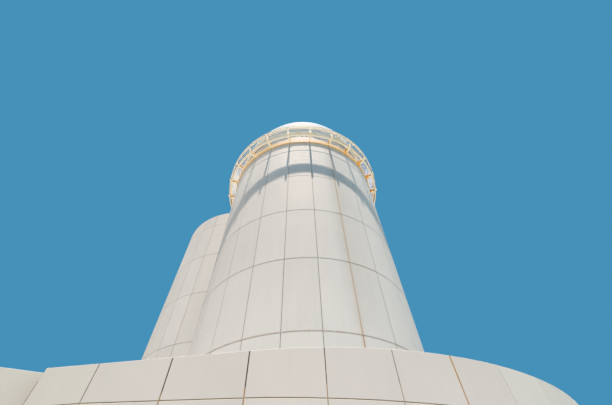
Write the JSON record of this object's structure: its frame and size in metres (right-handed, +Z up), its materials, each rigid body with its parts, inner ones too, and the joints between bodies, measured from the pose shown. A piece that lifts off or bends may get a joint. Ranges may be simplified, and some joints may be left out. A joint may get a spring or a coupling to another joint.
{
  "type": "observatory dome building",
  "caption": "Round observatory tower with a turning dome, a steel gallery, a round side tower, a low round-fronted podium and a short wing.",
  "frame": {"origin": "on the main tower's axis at ground level, on the underside of its ground floor slab", "axes": "+Z up along the main tower's axis, -Y towards the round podium front, +X to the right of that front"},
  "size_m": [20.1883, 19.9771, 27.96],
  "materials": {
    "tower_cladding": "satin painted sheet panels over a concrete wall",
    "side_tower_cladding": "satin painted sheet panels over a concrete wall",
    "podium_cladding": "satin painted sheet panels over a concrete wall",
    "floor_concrete": "trowelled concrete",
    "roof_membrane": "grey roofing membrane",
    "gallery_paint": "cream paint with rust at the joints",
    "deck_grating": "galvanised open grating",
    "drum_paint": "white paint",
    "track_steel": "dark painted steel",
    "dome_paint": "white gloss paint",
    "door_paint": "grey-blue paint"
  },
  "bodies": {
    "building": {"dome_drum": "drum_paint", "dome_track": "track_steel", "door_frame": "door_paint", "door_leaf": "door_paint", "gallery_deck": "deck_grating", "gallery_inner_ring": "gallery_paint", "gallery_joists": "gallery_paint", "gallery_railing": "gallery_paint", "observing_floor": "floor_concrete", "podium_floor": "floor_concrete", "podium_roof": "roof_membrane", "podium_straight_wall": "podium_cladding", "podium_wall_1": "podium_cladding", "podium_wall_2": "podium_cladding", "podium_wall_3": "podium_cladding", "podium_wall_4": "podium_cladding", "podium_wall_5": "podium_cladding", "podium_wall_6": "podium_cladding", "podium_wall_left": "podium_cladding", "side_tower_floor": "floor_concrete", "side_tower_roof": "roof_membrane", "side_tower_wall_1": "side_tower_cladding", "side_tower_wall_2": "side_tower_cladding", "side_tower_wall_3": "side_tower_cladding", "side_tower_wall_4": "side_tower_cladding", "side_tower_wall_5": "side_tower_cladding", "tower_ground_floor": "floor_concrete", "tower_wall_1": "tower_cladding", "tower_wall_2": "tower_cladding", "tower_wall_3": "tower_cladding", "tower_wall_4": "tower_cladding", "tower_wall_5": "tower_cladding", "tower_wall_6": "tower_cladding", "tower_wall_7": "tower_cladding", "tower_wall_8": "tower_cladding", "wing_back_wall": "podium_cladding", "wing_end_wall": "podium_cladding", "wing_front_wall": "podium_cladding"},
    "dome": {"dome_base_ring": "track_steel", "dome_girder_left": "track_steel", "dome_girder_right": "track_steel", "dome_shell_front": "dome_paint", "dome_shell_left": "dome_paint", "dome_shell_right": "dome_paint", "dome_shutter": "dome_paint"}
  },
  "joints": [
    {"name": "dome_azimuth", "type": "hinge", "parent": "building", "child": "dome", "pos_m": [0, 0, 22.2], "axis": [0, 0, 1], "continuous": true}
  ]
}
